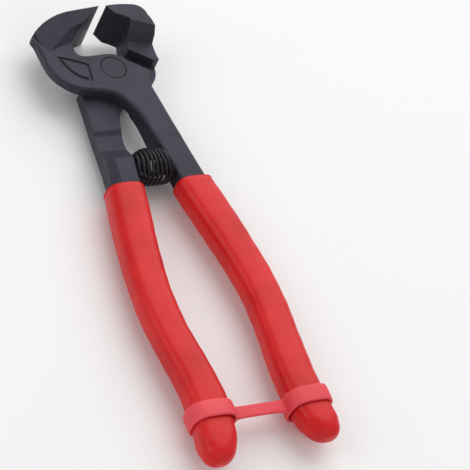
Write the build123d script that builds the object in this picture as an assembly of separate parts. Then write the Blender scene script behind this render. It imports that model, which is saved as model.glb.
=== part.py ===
from build123d import *
import math
import os

# Tile nippers. The pivot axis is Z through the origin, the jaws point to +Y and the handles run to
# -Y. Millimetres. The front lever has the jaw on the left (-X) and the handle on the right; the back
# lever mirrors it.
os.makedirs("parts", exist_ok=True)

# ---- sizes everything follows from ----
plate_t = 5.5          # thickness of each lever where they lap
jaw_reach = 25.0       # pivot to the cutting edges
jaw_gap = 3.2          # space between the cutting edges with the strap taut
jaw_front = 14.0       # both jaws end this far in front of the lap plane
front_jaw_back = 10.0  # the front lever's jaw ends this far behind it
back_jaw_back = 3.6    # the back lever's jaw ends this far behind it
tip_w = 4.2            # brazed cutting strip, back from the edge
rivet_d = 11.0         # rivet head
head_t = 1.6           # depth of the flush rivet head
head_edge = 0.45       # chamfer round the head, which leaves a fine groove in the plate
shank_d = 8.0          # rivet shank
clear = 0.05           # running clearance of the back lever on the rivet, per side
arm_w = 11.0           # width of the arms inside the sleeves
arm_front = 4.2        # the arms reach this far in front of the lap plane inside the sleeves
arm_back = 4.2         # and this far behind it
handle_len = 176.0     # pivot to the end of the back lever's steel arm
grip_top = 56.0        # pivot to the top of the dipped sleeves
grip_w = 16.0          # sleeve width across the handles
grip_t = 12.6          # sleeve thickness
grip_end = 4.0         # sleeve past the end of the arm
spring_at = 46.0       # pivot to the spring, along the handles
spring_wire = 1.2
spring_d = 15.2        # widest coil, outside
spring_small_d = 11.4  # end coil on the back lever, outside
spring_turns = 8.5
peg_d = 7.0
peg_out = 3.0          # the pegs stand this far into the spring
strap_end = 16.0       # end of the back lever's steel arm back up to the strap
strap_w = 7.5          # width of its rings along the handles
strap_t = 1.5
bridge_w = 4.9         # width of the flat bridge between the rings

FRONT, BACK = 1, -1    # which side of the middle plane a lever's handle is on

# Handle centre lines, distance from the middle plane against distance down from the pivot: the
# arms spread below the pivot, bow out at half length, come in and flare again at the tips.
BOW = {FRONT: [(20.8, 0.275), (23.4, 0.475), (22.2, 0.633), (21.4, 0.783), (21.9, 0.883)],
       BACK: [(20.2, 0.267), (22.1, 0.467), (21.0, 0.6), (18.9, 0.742), (18.9, 0.85)]}
NECK = {FRONT: [(10.0, 30.0), (14.3, grip_top - 2.0)], BACK: [(11.2, 30.0), (14.5, grip_top - 2.0)]}
TAIL = {FRONT: (23.6, handle_len - 3.0), BACK: (21.8, handle_len)}
strap_at = handle_len - strap_end


def bowed(side):
    # The bow's points, given as shares of the way from the sleeve's top to the end of the arm.
    return [(x, grip_top + share * (handle_len - grip_top)) for x, share in BOW[side]]


HANDLE = {side: NECK[side] + bowed(side) + [TAIL[side]] for side in (FRONT, BACK)}


def handle_end(side):
    return HANDLE[side][-1][1]


def handle_x(side, down):
    # Smooth reading of the centre line between its points.
    points = HANDLE[side]
    n = len(points) - 1
    slopes = [(points[min(i + 1, n)][0] - points[max(i - 1, 0)][0])
              / (points[min(i + 1, n)][1] - points[max(i - 1, 0)][1]) for i in range(n + 1)]
    i = max(j for j in range(n) if points[j][1] <= max(down, points[0][1]))
    (x0, d0), (x1, d1) = points[i], points[i + 1]
    u = (down - d0) / (d1 - d0)
    if u > 1:
        return x1 + slopes[n] * (down - d1)
    span = d1 - d0
    return ((2 * u**3 - 3 * u**2 + 1) * x0 + (u**3 - 2 * u**2 + u) * span * slopes[i]
            + (3 * u**2 - 2 * u**3) * x1 + (u**3 - u**2) * span * slopes[i + 1])


def slab(edges, z0, z1):
    return Pos(0, 0, z0) * extrude(Face(Wire(edges)), z1 - z0, dir=(0, 0, 1))


def lines(points):
    return [Line(a, b) for a, b in zip(points, points[1:])]


def ring(points):
    return lines(points + points[:1])


def across(points):
    # A (Y, Z) profile run across the whole width of the tool.
    return extrude(Face(Wire(ring([(-70, y, z) for y, z in points]))), 140, dir=(1, 0, 0))


def sound(solid, before):
    # Rounding an outer edge only takes material away.
    return solid.is_valid and len(solid.solids()) == 1 and solid.volume < before.volume


def soften(solid, choose, radius):
    # Rounds the chosen edges: together if that gives a sound solid, otherwise one after another.
    for r in (radius, 0.7 * radius):
        try:
            rounded = fillet(choose(solid), r)
            if sound(rounded, solid):
                return rounded.solids()[0]
        except Exception:
            pass
    for spot in [e @ 0.5 for e in choose(solid)]:
        nearest = [e for e in choose(solid) if (e @ 0.5 - spot).length < 1.5]
        try:
            rounded = fillet(nearest[:1], 0.8 * radius)
            if sound(rounded, solid):
                solid = rounded.solids()[0]
        except Exception:
            continue
    return solid


def arm_edges(side, half, first_x, last):
    # One side of the handle outline, from the plate down to the last point.
    stations = [(x + half, -d) for x, d in HANDLE[side][1:-1]]
    return Spline([(side * x, y) for x, y in [first_x] + stations + [last]])


def arm_outline(side, inner_start, outer_start):
    # From the plate down the inner side, round the end and back up the outer side.
    end_x, end_y = HANDLE[side][-1][0], -handle_end(side)
    half = arm_w / 2
    inner = arm_edges(side, -half, inner_start, (end_x - half, end_y + half))
    outer = arm_edges(side, half, outer_start, (end_x + half, end_y + half))
    tip = ThreePointArc((side * (end_x - half), end_y + half), (side * end_x, end_y),
                        (side * (end_x + half), end_y + half))
    return inner, tip, outer


# Where a lever runs in Y and Z: plate thickness at the pivot and a little thinner in front inside
# the sleeve. The lap side follows a list of (distance below the pivot, height past the lap plane).
def lever_profile(lap_side, plate_side):
    near = plate_t
    inside = arm_front if plate_side > 0 else arm_back
    points = [(60, 0), (60, near), (-grip_top + 22, near), (-grip_top + 2, inside), (-400, inside),
              (-400, -lap_side[-1][1])]
    points += [(-down, -height) for down, height in reversed(lap_side)]
    return across([(y, plate_side * z) for y, z in points])


# The front arm thickens backwards below the back lever's swing. The back arm's front face dips
# below the lap and then rises to its full thickness.
front_lap_side = [(19.1, 0), (20.6, 1.2), (36.0, arm_back)]
back_lap_side = [(26.6, 0), (28.6, -1.0), (32.5, -1.3), (36.5, -0.3), (43.5, arm_front)]

# ---- front lever ----
E = (0, jaw_reach)
inner, tip, outer = arm_outline(FRONT, (4.3, -29.5), (15.6, -29.5))
corner = [(-29.2, jaw_reach - 6.6), (-29.4, jaw_reach - 7.9), (-28.3, jaw_reach - 10.5)]
jaw_outer = [Line(E, (-13, jaw_reach + 0.5)),
             ThreePointArc((-13, jaw_reach + 0.5), (-22.4, jaw_reach - 1.7), corner[0])]
front_plan = jaw_outer + lines(corner)
cheek = Line(corner[-1], (-27.8, 4.6))
heel = TangentArc((-27.8, 4.6), (-18.2, -8.9), tangent=cheek % 1)
front_plan += [cheek, heel,
               Spline([(-18.2, -8.9), (-9.8, -10.6), (-2.9, -13.4), (0.8, -18.6), (4.3, -29.5)],
                      tangents=[heel % 1, inner % 0]),
               inner, tip, outer]
front_plan += lines([(15.6, -29.5), (13.3, -10.0), (13.4, -6.9), (16.4, -3.4), (7.4, 3.2)])
front_plan += [ThreePointArc((7.4, 3.2), (4.2, 6.0), (0, 7.0)),
               Spline([(0, 7.0), (-8.1, 6.6), (-12.3, 7.4), (-13.6, 10.2)], tangents=[(-1, 0), (0, 1)])]
front_plan += lines([(-13.6, 10.2), (-13.1, jaw_reach - 10.8), (-8.8, jaw_reach - 6.1), E])

body = slab(front_plan, -arm_back, plate_t) & lever_profile(front_lap_side, 1)

# The jaw block widens from the plate to the full cutting edge on both faces.
front_block = jaw_outer + lines(corner + [(-27.8, 9.0), (-13.6, 9.0), (-13.6, 10.2),
                                          (-13.1, jaw_reach - 10.8), (-8.8, jaw_reach - 6.1), E])
block = slab(front_block, -front_jaw_back, jaw_front)
near_cut = Plane(origin=(0, jaw_reach, jaw_front), x_dir=(0.67, -0.74, 0),
                 z_dir=Vector(-0.74, -0.67, 3.24).normalized())
far_cut = Plane(origin=(0, jaw_reach, -front_jaw_back), x_dir=(0, 1, 0),
                z_dir=Vector(-0.58, 0, -1).normalized())
for plane in (near_cut, far_cut):
    block = block - plane * Pos(0, 0, 50) * Box(200, 200, 100)

# Hollow in front of the plate, between the jaw's lip and the throat.
def hollow_section(lip, corners, z):
    # One level of a jaw's hollow: the curved lip, closed by straight sides over the throat.
    curve = Spline([(x, y, z) for x, y in lip])
    return Face(Wire([curve] + lines([(x, y, z) for x, y in [lip[-1]] + corners + [lip[0]]])))


top = jaw_front + 1
front_foot = [(-8.8, jaw_reach - 6.2), (-13.1, jaw_reach - 10.6), (-19.2, jaw_reach - 12.8), (-24.0, 10.1)]
front_lip = [(-7.4, jaw_reach - 5.2), (-12.8, jaw_reach - 2.8), (-25.2, jaw_reach - 4.8), (-31.0, 11.0)]
hollow = loft([hollow_section(front_foot, [(-24.0, 0), (8, 0), (8, 18.8)], plate_t),
               hollow_section(front_lip, [(-31.0, 0), (8, 0), (8, 19.8)], top)], ruled=True)
block = block - hollow
front_lever = (body + block).solids()[0]


def rim(z, keep):
    # The outline edges lying flat at this height and passing a test on their middle point.
    def pick(solid):
        flat = [e for e in solid.edges() if abs(e.bounding_box().min.Z - z) < 0.01
                and abs(e.bounding_box().max.Z - z) < 0.01]
        return [e for e in flat if keep(e @ 0.5)]
    return pick


front_lever = soften(front_lever, rim(plate_t, lambda p: p.X < 9 and p.Y < 2), 1.3)
front_lever = soften(front_lever, rim(plate_t, lambda p: 12 < p.X < 17 and p.Y < -1), 0.8)

# The plate's back rim runs in under the cheek.
def undercut(curve, z):
    edge = Spline([(x, y, z) for x, y in curve])
    return Face(Wire([edge] + lines([(*curve[-1], z), (-50, -14, z), (-50, 26, z), (*curve[0], z)])))


tucked = [(-29.0, 26), (-26.7, 15), (-26.1, 5), (-23.4, -2.2), (-17.6, -7.2), (-13.6, -9.2)]
full = [(-31.5, 26), (-28.9, 16), (-27.9, 5), (-25.0, -3.2), (-18.6, -9.4), (-13.6, -11.2)]
front_lever = front_lever - loft([undercut(tucked, 0), undercut(full, 1.9)], ruled=True)

# Leaf-shaped groove pressed into the plate beside the jaw.
leaf_outer = [Spline([(-22.3, 7.6), (-20.9, 2.4), (-16.9, -3.6), (-10.9, -6.0)]),
              Line((-10.9, -6.0), (-9.9, 2.6)), Spline([(-9.9, 2.6), (-14.6, 5.0), (-22.3, 7.6)])]
leaf_inner = [Spline([(-20.6, 6.3), (-19.3, 2.6), (-15.8, -2.4), (-12.2, -4.2)]),
              Line((-12.2, -4.2), (-11.4, 2.2)), Spline([(-11.4, 2.2), (-14.8, 3.6), (-20.6, 6.3)])]
groove = slab(leaf_outer, plate_t - 0.7, plate_t + 1) - slab(leaf_inner, plate_t - 1, plate_t + 2)
front_lever = front_lever - groove

# ---- back lever ----
B = (jaw_gap, jaw_reach)
right = jaw_gap + 18.2
back_outer = [Spline([B, (9.0, jaw_reach + 0.6), (15.4, jaw_reach + 0.4)]),
              ThreePointArc((15.4, jaw_reach + 0.4), (19.1, jaw_reach - 1.4), (20.4, jaw_reach - 5.0)),
              Spline([(20.4, jaw_reach - 5.0), (21.6, 13.0), (21.2, 7.0), (right, 2.4)])]
back_inner = [(11.6, jaw_reach - 6.7), (8.9, jaw_reach - 5.2), (5.8, jaw_reach - 3.9), (4.9, jaw_reach - 2.6)]
inner, tip, outer = arm_outline(BACK, (5.2, -29.5), (17.2, -29.5))
back_plan = back_outer + [ThreePointArc((right, 2.4), (20.2, -1.9), (17.0, -5.6)),
                          Spline([(17.0, -5.6), (9.8, -10.4), (2.9, -13.3), (-2.0, -18.6), (-5.2, -29.5)],
                                 tangents=[(-0.8, -0.6), inner % 0]),
                          inner, tip, outer]
back_plan += lines([(-17.2, -29.5), (-15.0, -6.0), (-7.4, 3.2)])
back_plan += [ThreePointArc((-7.4, 3.2), (-4.2, 6.0), (0, 7.0)),
              Spline([(0, 7.0), (5.6, 7.2), (9.4, 9.0), (10.6, 12.6)], tangents=[(1, 0), (0.2, 0.98)])]
back_plan += lines([(10.6, 12.6), *back_inner, B])
body = slab(back_plan, -plate_t, arm_front) & lever_profile(back_lap_side, -1)

# Below the lap the arm's front face slopes off to its outer side, beyond facet_x.
facet_x = -12.6
facet = Face(Wire(ring([(facet_x, 0, arm_front + 0.6), (-22, 0, -0.6), (-22, 0, 12), (facet_x, 0, 12)])))
body = body - Pos(0, -24, 0) * Rot(0, 0, -4.9) * extrude(facet, 60, dir=(0, -1, 0))

# The jaw block stands off the lap plane past a shoulder that faces the front plate's edge.
shoulder = [(right, 2.4), (19.2, 2.2), (10.2, 8.8), (10.6, 12.6)]
block = slab(back_outer + lines(shoulder) + lines([(10.6, 12.6), *back_inner, B]), -plate_t, jaw_front)
rise = (plate_t - back_jaw_back) / 9.0
far_cut = Plane(origin=(jaw_gap, jaw_reach, -back_jaw_back), x_dir=(1, 0, 0),
                z_dir=Vector(0, rise, -1).normalized())
block = block - far_cut * Pos(0, 0, 50) * Box(200, 200, 100)
body = body - far_cut * Pos(0, 0, 50) * Box(200, 60, 100)
near_cut = Plane(origin=(jaw_gap, jaw_reach, jaw_front), x_dir=(1, 0, 0),
                 z_dir=Vector(0.06, 0, 1).normalized())
block = block - near_cut * Pos(0, 0, 50) * Box(200, 200, 100)
corners = [(30, 0), (7.6, 0)]
back_foot = [(7.6, 12.6), (10.6, 12.5), (16, 11.4), (22.5, 10.4)]
back_mid = [(7.6, jaw_reach - 9.9), (11.0, jaw_reach - 10.2), (16, jaw_reach - 11.3),
            (22.5, jaw_reach - 13.4)]
back_lip = [(7.6, jaw_reach - 4.7), (11.6, jaw_reach - 6.3), (16, jaw_reach - 7.6), (22.5, jaw_reach - 9.6)]
for low, high, z0, z1 in [(back_foot, back_mid, plate_t, 10.0), (back_mid, back_lip, 10.0, top)]:
    block = block - loft([hollow_section(low, corners, z0), hollow_section(high, corners, z1)], ruled=True)
back_lever = (body + block).solids()[0]

# ---- brazed cutting strips, cut off the wedge of each jaw ----
def strip(lever, side):
    edge_x = 0 if side == BACK else jaw_gap
    box = Pos(edge_x + side * (tip_w / 2), jaw_reach, 2) * Box(tip_w, 12, 40)
    return lever & box, lever - box


front_tip, front_lever = strip(front_lever, BACK)
back_tip, back_lever = strip(back_lever, FRONT)

# ---- rivet, flush on both faces ----
rivet = Cylinder(shank_d / 2, 2 * plate_t)
rivet += Pos(0, 0, plate_t - head_t / 2) * Cylinder(rivet_d / 2, head_t)
rivet += Pos(0, 0, -plate_t + head_t / 2) * Cylinder(rivet_d / 2 - 0.5, head_t)
front_lever = front_lever - rivet
rivet = chamfer(rivet.edges().group_by(Axis.Z)[-1], head_edge)
bore = Pos(0, 0, -plate_t / 2) * Cylinder(shank_d / 2 + clear, plate_t)
bore += Pos(0, 0, -plate_t + (head_t + clear) / 2) * Cylinder(rivet_d / 2 - 0.5 + clear, head_t + clear)
back_lever = back_lever - bore

# ---- spring pegs, square to the arms' inner faces ----
lean = 10.4            # the inner faces lean this far off the middle plane where the spring sits
seat_x = 7.6           # and are this far from it


def on_seat(side, solid):
    # Moves a solid built along Z, base at the origin, onto an arm's inner face, Z into the gap.
    return Pos(side * seat_x, -spring_at, 0) * Rot(0, 0, side * lean) * Rot(0, -side * 90, 0) * solid


pegs = []
for side in (FRONT, BACK):
    spigot = Pos(0, 0, peg_out / 2 - 0.3) * Cylinder(peg_d / 2, peg_out + 0.6)
    spigot += Pos(0, 0, -2.5) * Cylinder(2.25, 5)
    pegs.append(on_seat(side, spigot))
seat = Pos(0, 0, 2) * Cylinder(spring_d / 2 + 0.8, 4)
front_lever = front_lever - on_seat(FRONT, seat) - pegs[0]
back_lever = back_lever - on_seat(BACK, seat) - pegs[1]

# ---- return spring: a barrel of coils fanned between the two leaning faces ----
def spring_point(share):
    turn = 2 * math.pi * spring_turns * share
    end_r = spring_small_d / 2 - spring_wire / 2
    mid_r = spring_d / 2 - spring_wire / 2
    r = end_r + (mid_r - end_r) * min(1.0, math.sin(math.pi * min(share * 1.3, 0.5)))
    if share > 0.86:
        r = mid_r - (share - 0.86) * 8.0
    fan = math.radians(lean) * (2 * share - 1)
    middle = (seat_x - spring_wire / 2 - 0.05) * (2 * share - 1)
    y, z = r * math.cos(turn), r * math.sin(turn)
    return (middle - y * math.sin(fan), -spring_at + y * math.cos(fan), z)


def spring_heading(share):
    step = 1e-4
    before, after = spring_point(max(0, share - step)), spring_point(min(1, share + step))
    return (Vector(*after) - Vector(*before)).normalized()


# The wire's path is a chain of quarter turns that meet with the same heading.
quarters = round(4 * spring_turns)
coil = []
for q in range(quarters):
    shares = [(q + i / 3) / quarters for i in range(4)]
    coil.append(Spline([spring_point(share) for share in shares],
                       tangents=[spring_heading(shares[0]), spring_heading(shares[-1])]))
start = Plane(origin=coil[0] @ 0, z_dir=coil[0] % 0)
spring = sweep(start * Circle(spring_wire / 2), path=Wire(coil), is_frenet=True)

# ---- dipped sleeves ----
def sleeve(side):
    first, last = grip_top, handle_end(side) + grip_end
    waist = [(0.15, 1.01), (0.29, 0.98), (0.42, 0.96), (0.55, 0.96), (0.68, 0.98), (0.81, 1.0)]
    stations = [(first, 0.93), (first + 1.2, 0.99), (first + 4, 1.02)]
    stations += [(first + share * (last - first), width) for share, width in waist]
    stations += [(last - 12, 0.98), (last - 6, 0.89), (last - 2.5, 0.70), (last - 0.8, 0.48), (last, 0.25)]
    sections = []
    for down, share in stations:
        place = Plane(origin=(side * handle_x(side, down), -down, 0), x_dir=(1, 0, 0), z_dir=(0, -1, 0))
        w, t = grip_w * share, grip_t * share
        sections.append(place * RectangleRounded(w, t, 0.46 * t))
    return loft(sections)


front_grip = sleeve(FRONT)
back_grip = sleeve(BACK)

# ---- strap: two rings pulled over the sleeves and the flat bridge between them ----
def strap_ring(side, solid):
    x = side * handle_x(side, strap_at)
    place = Plane(origin=(x, -strap_at + strap_w / 2, 0), x_dir=(1, 0, 0), z_dir=(0, -1, 0))
    outside = place * RectangleRounded(grip_w + 2 * strap_t, grip_t + 2 * strap_t, 0.46 * grip_t + strap_t)
    return extrude(outside, strap_w, dir=(0, -1, 0)) - solid


strap = strap_ring(FRONT, front_grip) + strap_ring(BACK, back_grip)
ends = [side * (handle_x(side, strap_at) - grip_w / 2 - strap_t / 2) for side in (BACK, FRONT)]
strap = strap + Pos(sum(ends) / 2, -strap_at, 0) * Box(ends[1] - ends[0], bridge_w, strap_t)
front_grip = front_grip - front_lever
back_grip = back_grip - back_lever

# Everything above is measured from the lap plane; the origin sits on the rivet's back face.
for name, solid in [("front_lever", front_lever), ("back_lever", back_lever),
                    ("front_cutting_tip", front_tip), ("back_cutting_tip", back_tip),
                    ("pivot_rivet", rivet), ("return_spring", spring),
                    ("front_spring_peg", pegs[0]), ("back_spring_peg", pegs[1]),
                    ("front_grip", front_grip), ("back_grip", back_grip), ("handle_strap", strap)]:
    export_step(Pos(0, 0, plate_t) * solid, "parts/" + name + ".step")
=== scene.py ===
import math
import bmesh
import bpy
from mathutils import Matrix, Vector
from mathutils.bvhtree import BVHTree


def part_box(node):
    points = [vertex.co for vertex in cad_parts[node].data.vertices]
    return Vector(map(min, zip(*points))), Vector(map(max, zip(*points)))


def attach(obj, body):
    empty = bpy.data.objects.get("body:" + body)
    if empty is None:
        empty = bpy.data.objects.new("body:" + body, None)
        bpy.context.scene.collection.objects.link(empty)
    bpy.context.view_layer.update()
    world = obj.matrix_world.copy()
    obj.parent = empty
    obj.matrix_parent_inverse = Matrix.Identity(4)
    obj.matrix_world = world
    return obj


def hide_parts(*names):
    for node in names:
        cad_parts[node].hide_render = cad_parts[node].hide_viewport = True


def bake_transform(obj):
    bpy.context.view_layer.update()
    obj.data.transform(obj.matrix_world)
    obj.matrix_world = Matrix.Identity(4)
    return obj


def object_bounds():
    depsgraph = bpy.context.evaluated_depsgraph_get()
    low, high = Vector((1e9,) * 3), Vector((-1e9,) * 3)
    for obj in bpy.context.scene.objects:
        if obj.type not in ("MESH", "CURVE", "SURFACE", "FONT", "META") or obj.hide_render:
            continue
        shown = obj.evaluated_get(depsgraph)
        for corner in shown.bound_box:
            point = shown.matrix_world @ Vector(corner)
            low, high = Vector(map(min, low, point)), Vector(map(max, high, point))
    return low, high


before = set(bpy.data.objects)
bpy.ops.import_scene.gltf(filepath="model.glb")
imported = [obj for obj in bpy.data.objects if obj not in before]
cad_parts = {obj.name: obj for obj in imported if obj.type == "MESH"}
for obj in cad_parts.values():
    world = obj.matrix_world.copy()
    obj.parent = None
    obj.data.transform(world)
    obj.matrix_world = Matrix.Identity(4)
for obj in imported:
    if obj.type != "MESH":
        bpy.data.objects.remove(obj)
cad_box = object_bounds()
MM = 0.001

# ---- driving dimensions, in metres, taken from the frame ----
PIVOT_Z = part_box("pivot_rivet")[1].z / 2           # the plane where the two levers lap
FRONT, BACK = 1, -1                                # which side of the middle a handle is on
STRAP_LOW, STRAP_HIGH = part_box("handle_strap")
SPRING_LOW, SPRING_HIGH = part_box("return_spring")
STRAP_Y = (STRAP_LOW.y + STRAP_HIGH.y) / 2
SPRING_Y = (SPRING_LOW.y + SPRING_HIGH.y) / 2
FLOOR_Z = cad_box[0][2]
SQUARENESS = 2.9                                   # 2 is an ellipse; higher is squarer


# ---- reading a sleeve's shape from its CAD node ----
def tree_of(node):
    builder = bmesh.new()
    builder.from_mesh(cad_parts[node].data)
    tree = BVHTree.FromBMesh(builder)
    builder.free()
    return tree


TREES = {FRONT: tree_of("front_grip"), BACK: tree_of("back_grip")}
GRIPS = {FRONT: "front_grip", BACK: "back_grip"}


def extents(side, y):
    """(centre x, half width, centre z, half thickness) of the sleeve at this y, by rays from outside."""
    low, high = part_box(GRIPS[side])
    tree = TREES[side]
    left = tree.ray_cast(Vector((low.x - 0.02, y, PIVOT_Z)), Vector((1, 0, 0)))[0]
    right = tree.ray_cast(Vector((high.x + 0.02, y, PIVOT_Z)), Vector((-1, 0, 0)))[0]
    if left is None or right is None:
        return None
    x = (left.x + right.x) / 2
    top = tree.ray_cast(Vector((x, y, high.z + 0.02)), Vector((0, 0, -1)))[0]
    bottom = tree.ray_cast(Vector((x, y, low.z - 0.02)), Vector((0, 0, 1)))[0]
    if top is None or bottom is None:
        return None
    return x, (right.x - left.x) / 2, (top.z + bottom.z) / 2, (top.z - bottom.z) / 2


def loop(centre, across, half_w, half_t, count, power=SQUARENESS):
    """Points of a rounded-rectangle ring in the plane of `across` and Z."""
    points = []
    for i in range(count):
        a = 2 * math.pi * i / count
        c, s = math.cos(a), math.sin(a)
        u = math.copysign(abs(c) ** (2 / power), c) * half_w
        v = math.copysign(abs(s) ** (2 / power), s) * half_t
        points.append(centre + across * u + Vector((0, 0, v)))
    return points


def tube(rings, closed=False, cap_start=False, cap_end=False):
    """(points, faces) of a quad skin through rings of equal length; closed joins the last to the first."""
    count = len(rings[0])
    last = len(rings) if closed else len(rings) - 1
    faces = []
    for r in range(last):
        a, b = r * count, ((r + 1) % len(rings)) * count
        for i in range(count):
            j = (i + 1) % count
            faces.append((a + i, a + j, b + j, b + i))
    if cap_start:
        faces.append(tuple(range(count)))
    if cap_end:
        faces.append(tuple(reversed(range((len(rings) - 1) * count, len(rings) * count))))
    return [p for ring in rings for p in ring], faces


def make_piece(name, *tubes):
    """One smooth-shaded object from one or more tubes."""
    verts, faces = [], []
    for points, quads in tubes:
        faces += [tuple(i + len(verts) for i in face) for face in quads]
        verts += points
    mesh = bpy.data.meshes.new(name)
    mesh.from_pydata([tuple(v) for v in verts], [], faces)
    builder = bmesh.new()
    builder.from_mesh(mesh)
    bmesh.ops.recalc_face_normals(builder, faces=builder.faces)
    builder.to_mesh(mesh)
    builder.free()
    mesh.polygons.foreach_set("use_smooth", [True] * len(mesh.polygons))
    piece = bpy.data.objects.new(name, mesh)
    bpy.context.scene.collection.objects.link(piece)
    return piece


# ---- materials ----
def new_material(name):
    material = bpy.data.materials.new(name)
    material.use_nodes = True
    return material, material.node_tree.nodes, material.node_tree.links


def noise(nodes, links, scale, detail=4.0, rough=0.6):
    coords = nodes.new("ShaderNodeTexCoord")
    texture = nodes.new("ShaderNodeTexNoise")
    texture.inputs["Scale"].default_value = scale
    texture.inputs["Detail"].default_value = detail
    texture.inputs["Roughness"].default_value = rough
    links.new(coords.outputs["Object"], texture.inputs["Vector"])
    return texture.outputs["Fac"]


def ramp(nodes, links, source, stops):
    node = nodes.new("ShaderNodeValToRGB")
    node.color_ramp.elements[0].position = stops[0][0]
    node.color_ramp.elements[0].color = (*stops[0][1], 1)
    node.color_ramp.elements[1].position = stops[-1][0]
    node.color_ramp.elements[1].color = (*stops[-1][1], 1)
    for position, colour in stops[1:-1]:
        node.color_ramp.elements.new(position).color = (*colour, 1)
    links.new(source, node.inputs["Fac"])
    return node.outputs["Color"]


def spread(nodes, links, source, low, high):
    node = nodes.new("ShaderNodeMapRange")
    node.inputs["From Min"].default_value = 0.3
    node.inputs["From Max"].default_value = 0.7
    node.inputs["To Min"].default_value = low
    node.inputs["To Max"].default_value = high
    links.new(source, node.inputs["Value"])
    return node.outputs["Result"]


def bump(nodes, links, height, strength, distance, normal=None):
    node = nodes.new("ShaderNodeBump")
    node.inputs["Strength"].default_value = strength
    node.inputs["Distance"].default_value = distance
    links.new(height, node.inputs["Height"])
    if normal is not None:
        links.new(normal, node.inputs["Normal"])
    return node.outputs["Normal"]


def edge_normal(nodes, radius):
    node = nodes.new("ShaderNodeBevel")
    node.samples = 6
    node.inputs["Radius"].default_value = radius
    return node.outputs["Normal"]


def edge_wear_and_highlight(nodes, links, base, wear_and_highlight_colour, rounded, speckle):
    """Mixes a lighter colour in where the rounded normal leaves the flat one, broken up by noise: part
    rubbed wear, part painted edge highlight.
    """
    geometry = nodes.new("ShaderNodeNewGeometry")
    agree = nodes.new("ShaderNodeVectorMath")
    agree.operation = "DOT_PRODUCT"
    links.new(rounded, agree.inputs[0])
    links.new(geometry.outputs["Normal"], agree.inputs[1])
    edge = nodes.new("ShaderNodeMapRange")
    edge.inputs["From Min"].default_value = 0.985
    edge.inputs["From Max"].default_value = 0.85
    links.new(agree.outputs["Value"], edge.inputs["Value"])
    broken = nodes.new("ShaderNodeMath")
    broken.operation = "MULTIPLY"
    links.new(edge.outputs["Result"], broken.inputs[0])
    links.new(spread(nodes, links, speckle, 0.15, 0.85), broken.inputs[1])
    mix = nodes.new("ShaderNodeMix")
    mix.data_type = "RGBA"
    links.new(broken.outputs["Value"], mix.inputs["Factor"])
    links.new(base, mix.inputs["A"])
    mix.inputs["B"].default_value = (*wear_and_highlight_colour, 1)
    return mix.outputs["Result"]


def steel(name, dark, light, rough, edge_radius, grain=1.0, wear_and_highlight_colour=(0.095, 0.093, 0.115)):
    """Blackened forged steel: fine matte grain over slow patches, with lighter edges that are part rubbed
    wear and part painted highlight.
    """
    material, nodes, links = new_material(name)
    shader = nodes["Principled BSDF"]
    shader.inputs["Metallic"].default_value = 0.3
    shader.inputs["Specular IOR Level"].default_value = 0.28
    patches = noise(nodes, links, 90, 9, 0.72)
    fine = noise(nodes, links, 2600, 5, 0.7)
    colour = ramp(nodes, links, patches, [(0.32, dark), (0.68, light)])
    rounded = edge_normal(nodes, edge_radius)
    # lighter colour on the edges: part rubbed wear, part painted edge highlight
    colour_with_wear_and_highlight = edge_wear_and_highlight(nodes, links, colour, wear_and_highlight_colour, rounded, noise(nodes, links, 500, 3, 0.6))
    links.new(colour_with_wear_and_highlight, shader.inputs["Base Color"])
    links.new(spread(nodes, links, fine, rough - 0.08, rough + 0.10), shader.inputs["Roughness"])
    forged = bump(nodes, links, noise(nodes, links, 420, 4, 0.6), 0.22 * grain, 0.0004, rounded)
    links.new(bump(nodes, links, fine, 0.35 * grain, 0.00012, forged), shader.inputs["Normal"])
    return material


def vinyl(name, dark, mid, light, rough, coat):
    """Soft moulded or dipped vinyl: satin, faintly uneven, in slow clouds of deeper and lighter colour."""
    material, nodes, links = new_material(name)
    shader = nodes["Principled BSDF"]
    shader.inputs["Specular IOR Level"].default_value = 0.22
    shader.inputs["Coat Weight"].default_value = coat
    shader.inputs["Coat Roughness"].default_value = 0.28
    shader.inputs["Subsurface Weight"].default_value = 0.05
    shader.inputs["Subsurface Scale"].default_value = 0.002
    shader.inputs["Subsurface Radius"].default_value = (1.0, 0.25, 0.2)
    clouds = noise(nodes, links, 55, 3, 0.5)
    fine = noise(nodes, links, 1500, 4, 0.6)
    colour = ramp(nodes, links, clouds, [(0.3, dark), (0.5, mid), (0.72, light)])
    links.new(colour, shader.inputs["Base Color"])
    links.new(spread(nodes, links, fine, rough - 0.05, rough + 0.07), shader.inputs["Roughness"])
    runs = bump(nodes, links, noise(nodes, links, 120, 2, 0.4), 0.07, 0.0005)
    links.new(bump(nodes, links, fine, 0.07, 0.00008, runs), shader.inputs["Normal"])
    return material


# each steel's last colour goes onto its edges: part rubbed wear, part painted highlight
LEVER_STEEL = steel("forged_steel", (0.028, 0.027, 0.040), (0.044, 0.043, 0.064), 0.50, 0.0006)
TIP_STEEL = steel("tip_alloy", (0.025, 0.024, 0.034), (0.039, 0.038, 0.054), 0.42, 0.00025, 0.6)
RIVET_STEEL = steel("rivet_steel", (0.026, 0.025, 0.036), (0.038, 0.037, 0.054), 0.50, 0.0003, 0.7)
SPRING_STEEL = steel("spring_steel", (0.014, 0.014, 0.018), (0.026, 0.026, 0.032), 0.32, 0.0001, 0.4,
                     wear_and_highlight_colour=(0.06, 0.06, 0.07))
GRIP_VINYL = vinyl("dipped_vinyl", (0.54, 0.008, 0.010), (0.65, 0.012, 0.014), (0.71, 0.017, 0.020),
                   rough=0.33, coat=0.06)
STRAP_VINYL = vinyl("strap_vinyl", (0.72, 0.056, 0.072), (0.80, 0.074, 0.092), (0.86, 0.095, 0.115),
                    rough=0.46, coat=0.04)


def paint(piece, material):
    piece.data.materials.clear()
    piece.data.materials.append(material)
    return piece


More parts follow.
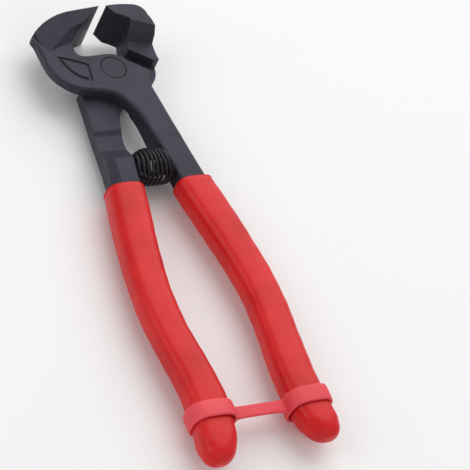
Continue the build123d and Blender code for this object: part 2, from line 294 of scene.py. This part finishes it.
def finish_steel_nodes():
    for node, material in (("front_lever", LEVER_STEEL), ("back_lever", LEVER_STEEL),
                           ("front_cutting_tip", TIP_STEEL), ("back_cutting_tip", TIP_STEEL),
                           ("pivot_rivet", RIVET_STEEL), ("front_spring_peg", RIVET_STEEL),
                           ("back_spring_peg", RIVET_STEEL)):
        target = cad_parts[node]
        for slot in target.material_slots:
            slot.material = material


# ---- dipped sleeves ----
def sleeve(side, body):
    low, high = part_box(GRIPS[side])
    length = high.y - low.y
    around = 64
    rings = []

    def station(y, grow, in_y=None):
        shape = extents(side, y)
        x, half_w, z, half_t = shape
        centre = Vector((x, y if in_y is None else in_y, z))
        return loop(centre, Vector((1, 0, 0)), half_w + grow, half_t + grow, around)

    # The opening: the vinyl turns in over its own thickness, then bulges in a soft rolled rim.
    top = high.y
    read_at = top - 3.0 * MM
    for grow, down in ((-2.1, 2.2), (-1.7, 0.3), (-1.0, 0.02), (-0.35, 0.25)):
        rings.append(station(read_at, grow * MM, top - down * MM))
    for down, grow in ((0.8, -0.06), (1.6, 0.0), (2.6, -0.10), (3.8, -0.20), (5.2, -0.16)):
        rings.append(station(max(top - down * MM, low.y), grow * MM - 0.02 * MM, top - down * MM))
    steps = 96
    end_zone = 7.0 * MM
    for i in range(1, steps + 1):
        y = top - 5.2 * MM - (length - 5.2 * MM - end_zone) * i / steps
        ripple = 0.05 * MM * math.sin(y * 310 + side) + 0.04 * MM * math.sin(y * 733)
        rings.append(station(y, ripple - 0.06 * MM))
    # The closed end, following the CAD's taper as far as it can be read and then rounding shut.
    shape = None
    start = low.y + end_zone
    base = extents(side, start)
    for i in range(1, 15):
        a = 0.5 * math.pi * i / 15
        y = start - end_zone * math.sin(a)
        shape = extents(side, y) or shape
        round_w = base[1] * math.cos(a) ** 0.75
        round_t = base[3] * math.cos(a) ** 0.75
        half_w = min(round_w, shape[1]) if shape else round_w
        half_t = min(round_t, shape[3]) if shape else round_t
        x = shape[0] if shape else base[0]
        rings.append(loop(Vector((x, y, base[2])), Vector((1, 0, 0)), half_w, half_t, around, 2.4))
    piece = make_piece(GRIPS[side] + "_skin", tube(rings, cap_end=True))
    paint(piece, GRIP_VINYL)
    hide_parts(GRIPS[side])
    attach(piece, body)
    return piece


# ---- handle strap ----
RING_W = STRAP_HIGH.y - STRAP_LOW.y                # along the handle
RING_T = 1.25 * MM                                 # wall of a ring
BRIDGE_W = 4.9 * MM
BRIDGE_T = 1.4 * MM
SLACK = 0.12 * MM                                  # the rings sit a little loose on the sleeves
RING_LEAN = 0.25 * MM                              # and lean this far along them at each side


def ring_band(side, tilt):
    """A loose ring: a rounded wall profile carried round the sleeve, leaning a little along it."""
    around, profile = 72, 16
    x, half_w, z, half_t = extents(side, STRAP_Y)
    rings = []
    for i in range(around):
        a = 2 * math.pi * i / around
        c, s = math.cos(a), math.sin(a)
        power = 2 / SQUARENESS
        ux, uz = math.copysign(abs(c) ** power, c), math.copysign(abs(s) ** power, s)
        outward = Vector((c / half_w, 0, s / half_t)).normalized()
        ring = []
        for k in range(profile):
            b = 2 * math.pi * k / profile
            corner = 2 / 4.5
            pu = math.copysign(abs(math.cos(b)) ** corner, math.cos(b)) * RING_T / 2
            pv = math.copysign(abs(math.sin(b)) ** corner, math.sin(b)) * (RING_W / 2 - 0.25 * MM)
            middle = Vector((x + ux * (half_w + SLACK), STRAP_Y + pv + tilt * c * RING_LEAN,
                             z + uz * (half_t + SLACK)))
            ring.append(middle + outward * (RING_T / 2 + pu))
        rings.append(ring)
    return rings


def strap():
    tubes = [tube(ring_band(side, tilt), closed=True) for side, tilt in ((FRONT, 1.0), (BACK, -1.0))]
    front, back = extents(FRONT, STRAP_Y), extents(BACK, STRAP_Y)
    x0, x1 = back[0] + back[1] + RING_T * 0.5, front[0] - front[1] - RING_T * 0.5
    steps = 40
    rings = []
    for i in range(steps + 1):
        u = i / steps
        flare = 1 + 0.28 * (2 * abs(u - 0.5)) ** 6
        x = x0 + (x1 - x0) * u
        centre = Vector((x, STRAP_Y + 0.15 * MM * math.sin(math.pi * u), PIVOT_Z))
        ring = []
        for k in range(20):
            b = 2 * math.pi * k / 20
            power = 2 / 5
            pv = math.copysign(abs(math.cos(b)) ** power, math.cos(b)) * BRIDGE_W / 2 * flare
            pw = math.copysign(abs(math.sin(b)) ** power, math.sin(b)) * BRIDGE_T / 2 * flare
            ring.append(centre + Vector((0, pv, pw)))
        rings.append(ring)
    tubes.append(tube(rings, cap_start=True, cap_end=True))
    band = make_piece("handle_strap_band", *tubes)
    paint(band, STRAP_VINYL)
    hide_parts("handle_strap")
    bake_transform(band)
    return band


# ---- return spring ----
TURNS = 8.5
WIRE = 1.2 * MM
LEAN = math.radians(10.4)                          # each arm's inner face leans this far
SEAT_X = 7.6 * MM                                  # and stands this far from the middle plane
MID_R = (SPRING_HIGH.y - SPRING_LOW.y) / 2 - WIRE / 2
SEAT_GAP = 0.05 * MM                               # between the end coils and the arms
TAIL_FROM = 0.86                                   # share of the wire where the last turn draws in
TAIL_TAPER = 8.0 * MM                              # and how fast it does
END_SHARE = 0.75                                   # end coil against the widest, outside
END_R = END_SHARE * (2 * MID_R + WIRE) / 2 - WIRE / 2


def coil_point(share):
    turn = 2 * math.pi * TURNS * share
    r = END_R + (MID_R - END_R) * min(1.0, math.sin(math.pi * min(share * 1.3, 0.5)))
    if share > TAIL_FROM:
        r = MID_R - (share - TAIL_FROM) * TAIL_TAPER
    fan = LEAN * (2 * share - 1)
    middle = (SEAT_X - WIRE / 2 - SEAT_GAP) * (2 * share - 1)
    y, z = r * math.cos(turn), r * math.sin(turn)
    return Vector((middle - y * math.sin(fan), SPRING_Y + y * math.cos(fan), PIVOT_Z + z))


def spring():
    steps, around = 448, 12                        # along the wire, and round it
    points = [coil_point(i / steps) for i in range(steps + 1)]
    rings = []
    side = Vector((1, 0, 0))
    for i, p in enumerate(points):
        along = (points[min(i + 1, steps)] - points[max(i - 1, 0)]).normalized()
        side = (side - along * side.dot(along)).normalized()
        other = along.cross(side)
        rings.append([p + side * (math.cos(2 * math.pi * k / around) * WIRE / 2)
                      + other * (math.sin(2 * math.pi * k / around) * WIRE / 2) for k in range(around)])
    piece = make_piece("return_spring_coil", tube(rings, cap_start=True, cap_end=True))
    paint(piece, SPRING_STEEL)
    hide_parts("return_spring")
    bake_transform(piece)
    return piece


# ---- studio ----
def floor():
    mesh = bpy.data.meshes.new("floor")
    size = 4.0
    corners = [(-size, -size), (size, -size), (size, size), (-size, size)]
    mesh.from_pydata([(x, y, FLOOR_Z) for x, y in corners], [], [(0, 1, 2, 3)])
    ground = bpy.data.objects.new("floor", mesh)
    bpy.context.scene.collection.objects.link(ground)
    material, nodes, links = new_material("floor_paper")
    shader = nodes["Principled BSDF"]
    shader.inputs["Roughness"].default_value = 0.95
    shader.inputs["Specular IOR Level"].default_value = 0.1
    shade = ramp(nodes, links, noise(nodes, links, 3, 2, 0.5),
                 [(0.3, (0.90, 0.90, 0.90)), (0.7, (0.93, 0.93, 0.93))])
    links.new(shade, shader.inputs["Base Color"])
    paint(ground, material)


def area_light(name, place, target, size, energy):
    data = bpy.data.lights.new(name, "AREA")
    data.shape = "DISK"
    data.size = size
    data.energy = energy
    lamp = bpy.data.objects.new(name, data)
    lamp.location = place
    lamp.rotation_euler = (Vector(target) - Vector(place)).to_track_quat("-Z", "Y").to_euler()
    bpy.context.scene.collection.objects.link(lamp)


def camera():
    """A long lens from over the front-left, turned so the tool runs down the picture to the right."""
    tilt, azimuth, roll = math.radians(43.24), math.radians(-135.33), math.radians(-24.32)
    target, distance = Vector((0.0236, -0.0821, PIVOT_Z)), 0.9684
    back = Vector((math.sin(tilt) * math.cos(azimuth), math.sin(tilt) * math.sin(azimuth), math.cos(tilt)))
    flat_right = (-back).cross(Vector((0, 1, 0))).normalized()
    flat_up = flat_right.cross(-back)
    right = math.cos(roll) * flat_right + math.sin(roll) * flat_up
    up = -math.sin(roll) * flat_right + math.cos(roll) * flat_up
    data = bpy.data.cameras.new("camera")
    data.sensor_width = 36
    data.lens = 191.49
    data.clip_end = 20
    shot = bpy.data.objects.new("camera", data)
    place = target + distance * back
    shot.matrix_world = Matrix([(right.x, up.x, back.x, place.x), (right.y, up.y, back.y, place.y),
                                (right.z, up.z, back.z, place.z), (0, 0, 0, 1)])
    bpy.context.scene.collection.objects.link(shot)
    bpy.context.scene.camera = shot


def studio():
    floor()
    middle = (0.0, -0.08, 0.0)
    area_light("key", (0.55, 0.65, 1.0), middle, 1.9, 15)
    area_light("fill", (-0.9, 0.1, 0.7), middle, 0.8, 2.5)
    area_light("front_fill", (0.2, -1.1, 0.6), middle, 0.9, 1.2)
    world = bpy.data.worlds.new("studio")
    world.use_nodes = True
    world.node_tree.nodes["Background"].inputs["Color"].default_value = (1, 1, 1, 1)
    world.node_tree.nodes["Background"].inputs["Strength"].default_value = 0.46
    bpy.context.scene.world = world
    bpy.context.scene.view_settings.view_transform = "Standard"
    camera()


finish_steel_nodes()
sleeve(FRONT, "front_side")
sleeve(BACK, "back_side")
strap()
spring()
studio()
